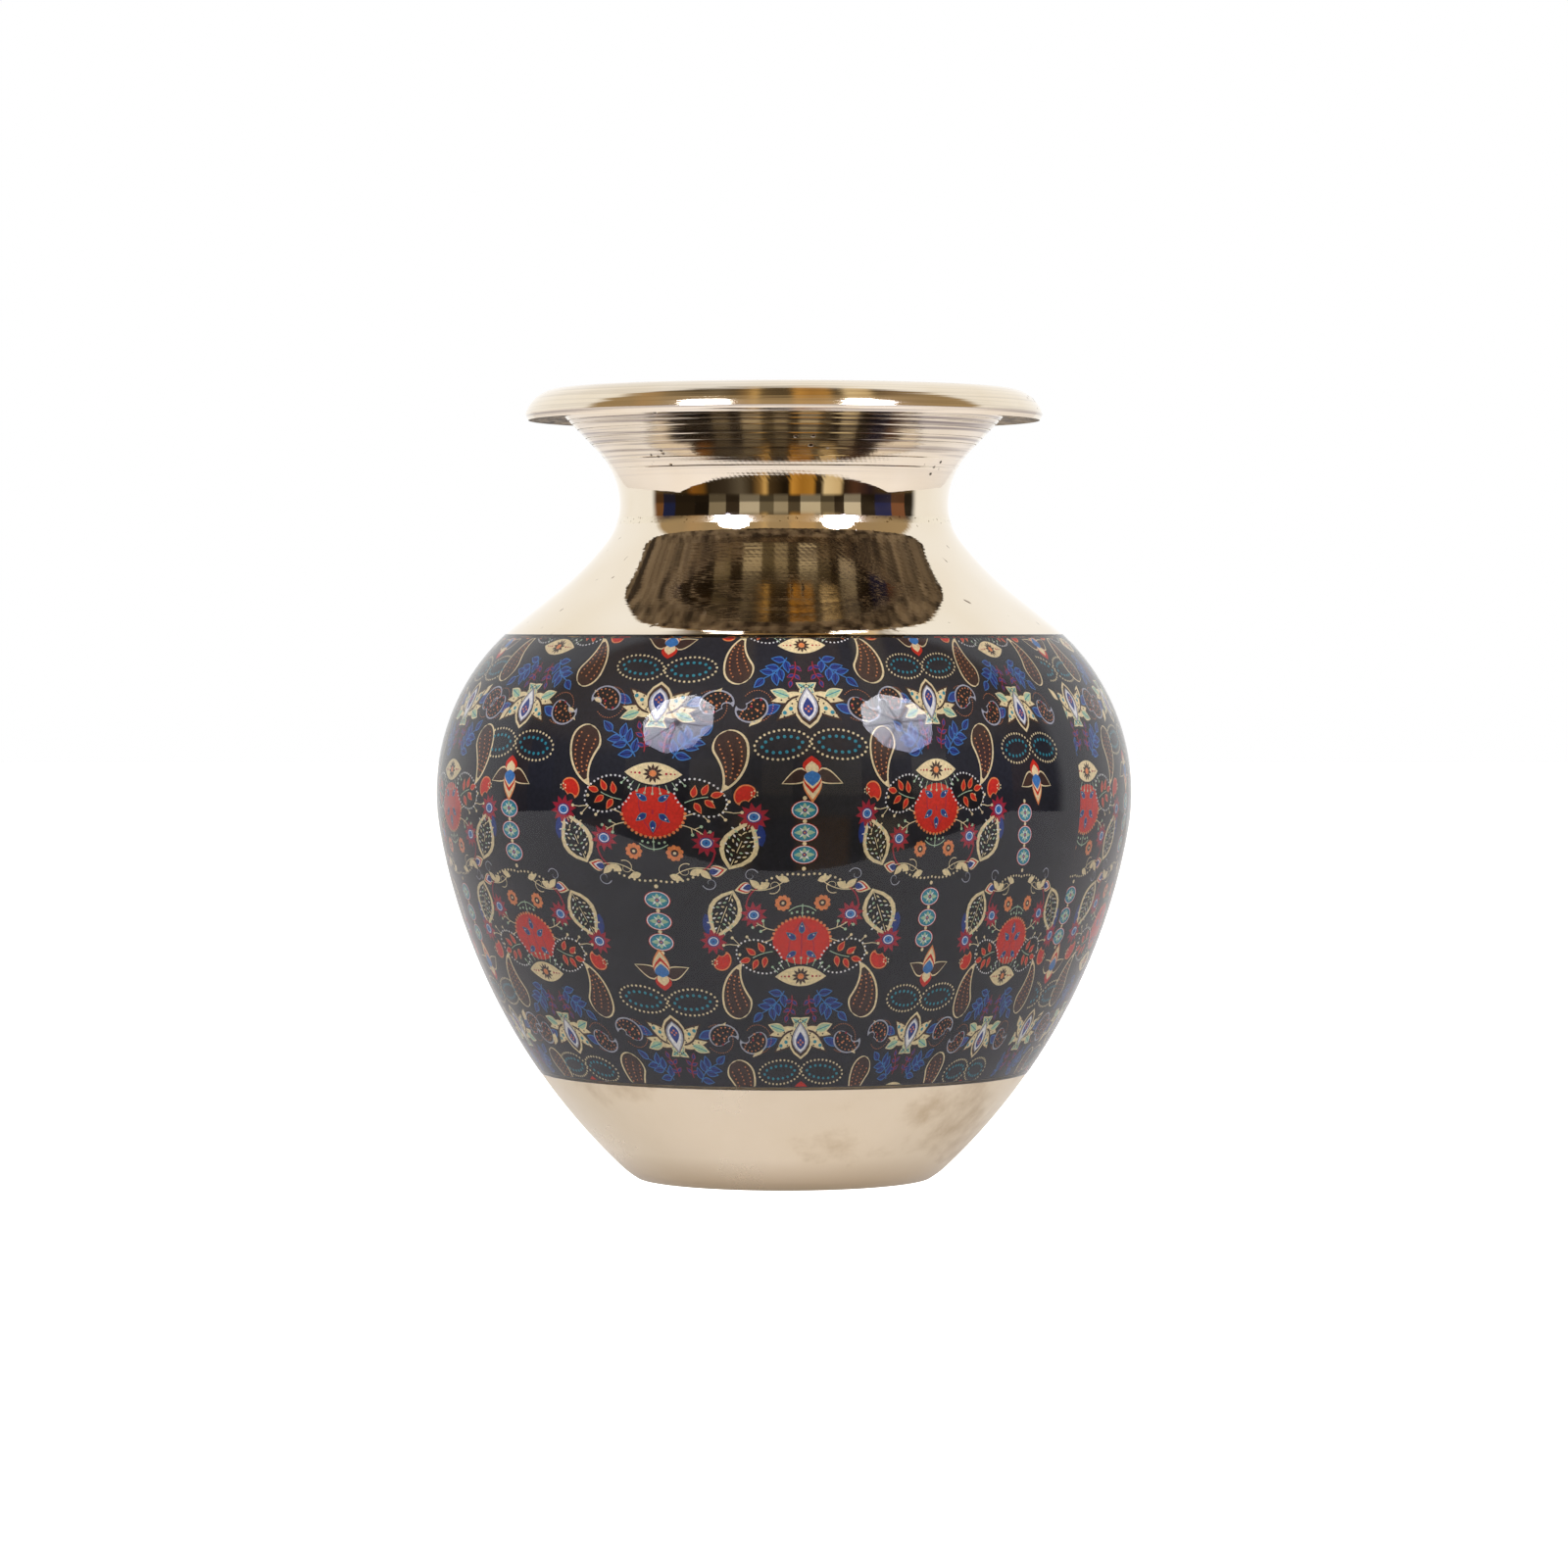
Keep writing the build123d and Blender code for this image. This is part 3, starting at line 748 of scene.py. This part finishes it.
        # small paisleys beside the crown, outlined in grey
        paisley(side * 9.7, 14.0, 7.6, 4.6, 16, side, "black", "grey", 3, 165, 0.34, inner="orange")
        for k in range(5):
            ink = "crimson" if k % 2 else "orange"
            dot(ink, 5, *turn_about((0, 1.2), 72 * k, side * 9.6, 15.4), 0.5)
        rim = round_rim(side * 9.6, 15.6, 6.0, 6.4, 26)
        dots_along("orange", 2, np.vstack([rim[16:], rim[:10]]), 0.5, 0.2)
        # the garland at the foot: dots, cream leaves, tendrils and three-coloured caps
        dots_along("cream", 3, bow(0, -18.0, side * 7.6, -16.6, side * -0.1, 14), 0.92, 0.5)
        line_of("cream", 2, bow(side * 3.4, -17.0, side * 10.4, -15.6, side * 0.14, 12), 0.17)
        line_of("crimson", 2, bow(side * 10.6, -12.2, side * 7.4, -16.2, side * 0.16, 10), 0.3)
        curl_of(side * 6.2, -14.6, 1.5, 60, side)
        curl_of(side * 8.4, -18.6, 1.4, 200, side, "grey")
        for x, y, a in ((2.6, -16.9, -108), (6.2, -16.6, -62), (8.0, -15.6, -132)):
            leaf("cream", 4, side * x, y, 2.6, 1.3, side * a, 0.8)
        caps = ("cream", 3.2), ("red", 2.7), ("white", 2.2), ("navy", 1.7)
        for k, (ink, size) in enumerate(caps):
            cap = leaf_rim(size, size * 0.72, 0.65)
            patch_of(ink, 3 + k, turn_about(cap, side * -78, side * 9.6, -16.0), 1)
    line_of("mint", 2, bow(-2.6, -11.0, 2.6, -11.0, -0.2, 9), 0.18)
    for x in (-2, -1, 0, 1, 2):
        dot("mint", 3, x, -10.6 - 0.2 * (x % 2), 0.5)
    line_of("mint", 2, [(0, -9.8), (0, -11.2), (0, -12.4)], 0.16)
    # the lotus crown: dotted cream petals to the sides, mint leaves and a white drop
    for side in (-1, 1):
        leaf("navy", 1, side * 5.2, 15.6, 4.4, 2.0, side * -66, 0.9, edge="blue")
        leaf("cream", 2, side * 0.2, 13.4, 7.6, 3.0, side * -78, 0.75, edge="brown")
        leaf("cream", 4, side * 0.2, 13.8, 7.8, 3.4, side * -50, 0.75, edge="brown")
        lower_seeds = (2.2, 14.5), (3.6, 14.2), (5.0, 14.6), (3.0, 15.4)
        for x, y in lower_seeds + ((4.6, 18.0), (5.2, 17.4), (3.0, 17.2)):
            dot("brown", 7, side * x, y, 0.4)
        for x, y in ((3.3, 16.4), (4.5, 17.2)):
            dot("teal", 7, side * x, y, 0.85)
        leaf("mint", 4, side * 1.6, 13.4, 4.4, 2.3, side * 124, 0.85, edge="cream", vein="teal")
        leaf("mint", 4, side * 3.2, 14.0, 4.2, 2.2, side * -112, 0.85, edge="cream", vein="teal")
        for k in range(4):
            dot("brown", 8, side * (1.0 + k * 0.35), 18.4 - k * 1.15, 0.36)
    for ink, layer, length, width, y, rings in (
        ("cream", 6, 9.0, 5.2, 20.4, 4), ("brown", 7, 8.0, 4.4, 19.8, 4), ("grey", 9, 7.0, 3.7, 19.0, 3),
        ("white", 10, 6.2, 3.0, 18.7, 3), ("navy", 11, 4.0, 2.1, 18.1, 2),
    ):  # fmt: skip
        patch_of(ink, layer, turn_about(leaf_rim(length, width, 0.8), 180, 0, y), rings)
    for k in range(4):
        dot("orange", 12, *turn_about((0, 0.5), 90 * k, 0, 16.5), 0.45)
    for k in range(7):
        dot("brown", 9, (k - 3) * 0.5, 11.4 + 0.32 * abs(k - 3), 0.36)


def bud(y, way):
    """A striped bud between two brown wings, with a red cap. way is 1 if it points up."""
    lean = 0 if way > 0 else 180
    for side in (-1, 1):
        for ink, level, rim in (("cream", 2, 0.0), ("brown", 3, 0.28)):
            wing = leaf_rim(5.4 - 2 * rim, 2.9 - 2 * rim, 0.6) + (0, rim)
            patch_of(ink, level, turn_about(wing, side * -66 * way + lean, side * 0.6, y - 0.8 * way), 2)
    patch_of("red", 4, turn_about(leaf_rim(4.4, 3.4, 1.3), lean + 180, 0, y + 0.6 * way), 2)
    patch_of("cream", 5, turn_about(leaf_rim(3.4, 2.5, 1.3), lean + 180, 0, y + 0.6 * way), 2)
    stripes = ("orange", 6.0), ("cream", 5.4), ("red", 4.2), ("cream", 3.4), ("blue", 2.9)
    for k, (ink, length) in enumerate(stripes):
        stripe = leaf_rim(length, 3.5 - 0.14 * k, 0.75)
        patch_of(ink, 6 + k, turn_about(stripe, lean, 0, y - way), 2)


def loops(y):
    """Two big dotted loops side by side, with a ring of teal dots in each."""
    for side in (-1, 1):
        oval = round_rim(side * 5.2, y, 10.2, 5.6, 40, side * 6)
        dots_along("cream", 2, np.vstack([oval, oval[:1]]), 0.92, 0.5)
        ring = round_rim(side * 5.2, y, 7.4, 3.0, 24, side * 6)
        dots_along("teal", 3, np.vstack([ring, ring[:1]]), 1.2, 0.66)


UNIT = 66.0  # height of one repeat, in the drawing's mm
medallion()
loops(23.4)
bud(29.4, 1)
for at in (-21.9, -26.1, -30.3):
    roundel(at)
for at in (-19.2, -24.0, -28.2, -32.5):
    dot("cream", 2, 0, at, 0.8)


def outer_face(outline):
    """The long outer side of a band's closed outline, from its lower edge up."""
    step = np.diff(np.vstack([outline[-1:], outline, outline[:1]]), axis=0)
    turn = (step[:-1] * step[1:]).sum(axis=1) / np.hypot(*step[:-1].T) / np.hypot(*step[1:].T)
    corners = np.flatnonzero(turn < math.cos(math.radians(45)))
    loop = np.roll(outline, -corners[0], axis=0)
    loop = np.vstack([loop, loop[:1]])
    stops = np.append(corners - corners[0], len(outline))
    sides = [loop[a : b + 1] for a, b in zip(stops[:-1], stops[1:])]
    face = max(sides, key=lambda side: (len(side) > 3) * side[:, 0].mean())
    return face if face[0, 1] < face[-1, 1] else face[::-1]


face = smooth_outline(outer_face(film_outline), False)
run = np.concatenate([[0], np.cumsum(np.hypot(*np.diff(face, axis=0).T))])
slope = np.gradient(face, axis=0)
slope /= np.hypot(*slope.T)[:, None]
BELLY = face[:, 0].max()
PRINT_EDGE = 0.25 * MM  # bare ground at the film's edges


def on_film(turn, level, lift):
    """The place on the film at an angle and a distance up its face, with a lift over it."""
    radius, height = (np.interp(level, run, face[:, k]) for k in (0, 1))
    out_r, out_z = np.interp(level, run, slope[:, 1]), -np.interp(level, run, slope[:, 0])
    radius = radius + out_r * lift
    return np.stack([radius * np.sin(turn), -radius * np.cos(turn), height + out_z * lift], axis=-1)


SEAM = 55.0  # degrees from the front, where the film's ends meet
# Each column: the angle of its middle from the front in degrees, 1 if it stands on its feet
# and -1 on its head, its width against the drawing's, and how far it leans
COLUMNS = [
    (-167, -1, 0.96, 0.0), (-143, 1, 0.98, 0.01), (-119.5, -1, 1.0, -0.01), (-96, 1, 0.97, 0.0),
    (-71.8, -1, 0.98, 0.01), (-49.5, 1, 0.97, 0.0), (-21.6, -1, 1.02, -0.01), (3.4, 1, 0.94, 0.02),
    (25.2, -1, 0.72, 0.03), (43.4, 1, 0.66, 0.05), (58.5, -1, 0.8, 0.02), (78, 1, 0.9, 0.0),
    (100, -1, 0.96, 0.0), (123, 1, 1.0, -0.01), (146, -1, 0.98, 0.0), (169.5, 1, 0.97, 0.01),
]  # fmt: skip
HEIGHT_SHARE = 0.9  # of the drawing's height
UPRIGHT_LEVEL = np.interp(40.5 * MM, face[:, 1], run)
HANGING_LEVEL = np.interp(71.5 * MM, face[:, 1], run)

drawn = {ink: ([], [], [0]) for ink in INKS}
for middle, stand, width, lean in COLUMNS:
    before_seam = middle < SEAM
    for repeat in (-1, 0, 1):
        base_level = UPRIGHT_LEVEL if stand > 0 else HANGING_LEVEL
        base_level += repeat * UNIT * HEIGHT_SHARE * MM
        for ink, layer, rows in shapes:
            level = base_level - stand * rows[..., 1] * HEIGHT_SHARE * MM
            if level.max() < 0.2 * MM or level.min() > run[-1] - 0.2 * MM:
                continue
            across = rows[..., 0] * width + lean * rows[..., 1]
            turn = math.radians(middle) + across * MM / BELLY
            turn += math.radians(0.5) * np.sin(level / (13 * MM) + middle)
            level = level + 0.5 * MM * np.sin(turn * 5 + stand)
            level = np.clip(level, PRINT_EDGE, run[-1] - PRINT_EDGE)
            seam = math.radians(SEAM) + 0.02 * np.sin(level / (30 * MM))
            turn = np.minimum(turn, seam) if before_seam else np.maximum(turn, seam)
            points = on_film(turn, level, INK_LIFT * (layer + 1))
            high, wide = points.shape[:2]
            flat = points.reshape(-1, 3)
            i = (np.arange(high - 1)[:, None] * wide + np.arange(wide - 1)).ravel()
            quads = np.stack([i, i + 1, i + 1 + wide, i + wide], axis=1)
            a, b, c, d = (flat[quads[:, k]] for k in range(4))
            normal = np.cross(c - a, d - b)
            kept = np.linalg.norm(normal, axis=1) > 1e-10
            inward = (normal * (a + b + c + d) * (1, 1, 0)).sum(axis=1) < 0
            quads[inward] = quads[inward][:, ::-1]
            places, faces, total = drawn[ink]
            places.append(flat)
            faces.append(quads[kept] + total[0])
            total[0] += len(flat)


def printed_ink(ink, code):
    """Screen ink: flat and opaque, a little uneven where the screen's grain shows."""
    made, tree, shader = material("ink_" + ink)
    grain = add(tree, "TexNoise", add(tree, "TexCoord").outputs["Object"], 2200.0, 2.0)
    share = add(tree, "MapRange", grain, 0.3, 0.7)
    thin = [0.72 * v for v in linear(code)[:3]] + [1]
    colour = add(tree, "Mix RGBA", share, thin, code)
    feed(shader, Base_Color=colour, Roughness=0.6, Specular_IOR_Level=0.2)
    return made


for ink, (places, faces, _) in drawn.items():
    rows = np.vstack(places).tolist()
    sheet = opened_mesh("print_" + ink, rows, [], np.vstack(faces).tolist())
    bpy.ops.mesh.remove_doubles(threshold=WELD)
    bpy.ops.mesh.delete_loose()
    bpy.ops.object.mode_set(mode="OBJECT")
    bpy.ops.object.shade_smooth()
    sheet.data.materials.append(printed_ink(ink, INKS[ink]))
    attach(sheet, "root")

# ---------------------------------------------------------------------------
# The lacquer: clear resin flooded over the film while the pot turned, so that it levelled
# into a glassy coat nearly flush with the brass.


def clear_resin():
    """Clear lacquer: it shows the print unchanged and mirrors the room weakly, as glass does."""
    made, tree, shader = material("clear_lacquer_resin")
    tree.nodes.remove(shader)
    waves = add(tree, "TexNoise", add(tree, "TexCoord").outputs["Object"], 70.0, 1.0)
    bump = add(tree, "Bump", Height=waves, Distance=0.05 * MM, Strength=0.25)
    facing = add(tree, "Fresnel", 1.44, bump)
    gloss = add(tree, "BsdfGlossy", Roughness=0.02, Normal=bump)
    mixed = add(tree, "MixShader", facing, add(tree, "BsdfTransparent"), gloss)
    feed(tree.nodes["Material Output"], Surface=mixed)
    return made


def bonded_resin():
    """The lacquer's inner side, which has wetted the film, so that nothing is mirrored there."""
    made, tree, shader = material("bonded_resin")
    tree.nodes.remove(shader)
    feed(tree.nodes["Material Output"], Surface=add(tree, "BsdfTransparent"))
    return made


COAT_DEPTH = 0.2 * MM  # the coat's drawn thickness, which ends short of the printed inks
coat_face = smooth_outline(outer_face(seam_outline("clear_lacquer")[0]), False)
coat_way = np.gradient(coat_face, axis=0)
coat_way /= np.hypot(*coat_way.T)[:, None]
coat_inside = coat_face + np.column_stack([-coat_way[:, 1], coat_way[:, 0]]) * COAT_DEPTH
lacquer = turned_piece("lacquer_coat", np.vstack([coat_face, coat_inside[::-1]]), True)
lacquer.data.materials.append(clear_resin())
lacquer.data.materials.append(bonded_resin())
line_inside(lacquer)
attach(lacquer, "root")
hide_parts("clear_lacquer")

# ---------------------------------------------------------------------------
# The stage: a pale table, two white umbrella lights and a dark room in front of the pot,
# whose furniture and curtains the polished brass mirrors as stripes.
paper, tree, shader = material("pale_paper")
feed(shader, Base_Color="#F4F3F1", Roughness=0.9)
feed(shader, Emission_Color=(1, 1, 1, 1), Emission_Strength=0.72)
cloth, tree, shader = material("white_table")
feed(shader, Base_Color="#C4C3C4", Roughness=0.9)
feed(shader, Emission_Color=(1, 1, 1, 1), Emission_Strength=0.42)
# the pot mirrors only the near table, and the camera sees only the wide floor
bpy.ops.mesh.primitive_plane_add(size=6, location=(0, 0, -0.0002))
floor = bpy.context.object
floor.name = "floor"
floor.data.materials.append(paper)
floor.visible_glossy = False
bpy.ops.mesh.primitive_plane_add(size=1, location=(0, 0.33, -0.0001))
table = bpy.context.object
table.name = "table_top"
table.scale = (1.4, 1.0, 1)
table.data.materials.append(cloth)
table.visible_camera = False

# a dark room in front, white walls to the sides and behind
world = bpy.context.scene.world or bpy.data.worlds.new("studio")
bpy.context.scene.world = world
world.use_nodes = True
tree = world.node_tree
tree.nodes.clear()
way = add(tree, "TexCoord").outputs["Generated"]
axes = add(tree, "SeparateXYZ", way).outputs
behind = add(tree, "Math SUBTRACT", 1.0, axes["Y"])
turn = add(tree, "Math ARCTAN2", axes["X"], behind)
share = add(tree, "MapRange", turn, -math.pi / 2, math.pi / 2)


def by_angle(*stops):
    """A ramp's stops from colours that each start at an angle from the front, in degrees."""
    return [((90 + angle) / 180, colour) for angle, colour in stops]


# curtains and shelves, as stripes that run up and over the ceiling
bars = add(tree, "ValToRGB", share, stops=by_angle(
    (-50, "#6B5B3E"), (-44, "#5E4E34"), (-36, "#3A2E1C"), (-33, "#8A5A22"), (-29, "#74501F"),
    (-27, "#2E2519"), (-20, "#3E352A"), (-15, "#5F5648"), (-11, "#3C3020"), (-8, "#8A6A3C"),
    (-6.5, "#DDB46E"), (-5, "#4A3A24"), (0, "#221A10"), (1.6, "#241B12"), (2.6, "#D29A44"),
    (6, "#A8762E"), (10, "#B88638"), (11.2, "#2E2418"), (13, "#33281A"), (14, "#EFD8AC"),
    (19.5, "#DCC190"), (20.8, "#2E2218"), (25, "#54392A"), (31, "#2E2226"), (37, "#4A3A22"),
    (42, "#5E4E34"), (50, "#6B5B3E"),
))  # fmt: skip
# furniture and windows at the level of the pot
things = add(tree, "ValToRGB", share, stops=by_angle(
    (-90, "#33291C"), (-52, "#7A5230"), (-47, "#23284A"), (-41, "#2A2218"), (-33, "#1E1812"),
    (-27, "#8C806A"), (-21, "#3A3024"), (-16, "#C4B8A0"), (-9, "#6E6450"), (-4, "#A89C84"),
    (1, "#544A3A"), (5, "#CFC4AC"), (12, "#7A6F5A"), (17, "#3A3024"), (21, "#DDD2BC"),
    (27, "#2A2218"), (33, "#262C5E"), (40, "#86563A"), (46, "#1E1812"), (52, "#33291C"),
))  # fmt: skip
things.color_ramp.interpolation = "CONSTANT"
low = add(tree, "MapRange", axes["Z"], 0.02, 0.06, 0.65, 0.0)
things = add(tree, "Mix RGBA", low, things, "#241D15")
wall = add(tree, "ValToRGB", axes["Z"], stops=[(0.34, 0.0), (0.45, 0.65), (0.8, 0.7), (0.94, 0.15)])
room = add(tree, "Mix RGBA", wall, bars, "#C9AE84")
level = add(tree, "MapRange SMOOTHSTEP", axes["Z"], 0.3, 0.42)
room = add(tree, "Mix RGBA", level, things, room)
below = add(tree, "MapRange SMOOTHSTEP", axes["Z"], -0.1, -0.2)
room = add(tree, "Mix RGBA", below, room, bars)
haze = add(tree, "TexNoise", way, 1.6, 2.0)
haze = add(tree, "MapRange", haze, 0.5, 0.8, 0.0, 0.12)
room = add(tree, "Mix RGBA", haze, room, "#8A7E6C")
side = add(tree, "MapRange SMOOTHSTEP", axes["Y"], 0.17, 0.29)
bright = add(tree, "Mix RGBA", side, room, (1.08, 1.07, 1.06, 1))
seen = add(tree, "LightPath").outputs["Is Camera Ray"]
final = add(tree, "Mix RGBA", seen, bright, (1, 1, 1, 1))
add(tree, "OutputWorld", add(tree, "Background", final, 1.0))

UMBRELLA_WIDTH = 0.63
LAMP_AWAY, LAMP_RISE = 1.6, math.radians(36)  # from the middle of the pot
MID_POT = 0.07
LAMP_POWER = 17.0


def umbrella(name, turn):
    """A white umbrella with a lamp behind its cloth: eight panels on thin ribs."""
    bpy.ops.object.select_all(action="DESELECT")
    bpy.ops.mesh.primitive_circle_add(vertices=64, radius=UMBRELLA_WIDTH / 2, fill_type="TRIFAN")
    made = bpy.context.object
    made.name = name
    for vertex in made.data.vertices:
        panel = math.atan2(vertex.co.y, vertex.co.x) * 4
        vertex.co *= 1 - 0.07 * abs(math.sin(panel))
    made.location = (
        LAMP_AWAY * math.sin(turn) * math.cos(LAMP_RISE),
        -LAMP_AWAY * math.cos(turn) * math.cos(LAMP_RISE),
        LAMP_AWAY * math.sin(LAMP_RISE) + MID_POT,
    )
    made.rotation_euler = (math.radians(90) + LAMP_RISE, 0, turn + math.pi)
    made.scale = (1, 1.35, 1)
    lit, tree, shader = material(name + "_cloth")
    tree.nodes.remove(shader)
    place, radius, _, angle = lathe_coordinates(tree)
    panel = add(tree, "Math SINE", add(tree, "Math MULTIPLY", angle, 4.0))
    rib = add(tree, "Math MULTIPLY", add(tree, "Math ABSOLUTE", panel), radius)
    rib = add(tree, "MapRange", rib, 0.02, 0.06, 0.45, 1.0)
    hub = add(tree, "MapRange", radius, 0.022, 0.04)
    cloth = add(tree, "Math MULTIPLY", rib, hub)
    shade = add(tree, "VectorMath DOT_PRODUCT", place, (0.5, 1.2, 0.0))
    shade = add(tree, "MapRange", shade, -0.35, 0.3)
    tint = add(tree, "Mix RGBA", shade, (0.42, 0.42, 0.6, 1), (1.05, 1.05, 1.1, 1))
    tint = add(tree, "Mix RGBA", cloth, (0.12, 0.1, 0.12, 1), tint)
    feed(tree.nodes["Material Output"], Surface=add(tree, "Emission", tint, LAMP_POWER))
    made.data.materials.append(lit)
    made.visible_camera = False


umbrella("umbrella_left", math.radians(-40))
umbrella("umbrella_right", math.radians(43))

camera_data = bpy.data.cameras.new("camera")
camera = bpy.data.objects.new("camera", camera_data)
bpy.context.scene.collection.objects.link(camera)
camera_data.sensor_width = 36
camera_data.lens = 127.1
camera_data.clip_start = 0.05
camera.location = (0, -0.985, 0.0978)
camera.rotation_euler = (math.radians(90 - 1.62), 0, 0)
bpy.context.scene.camera = camera
bpy.context.scene.view_settings.view_transform = "Standard"
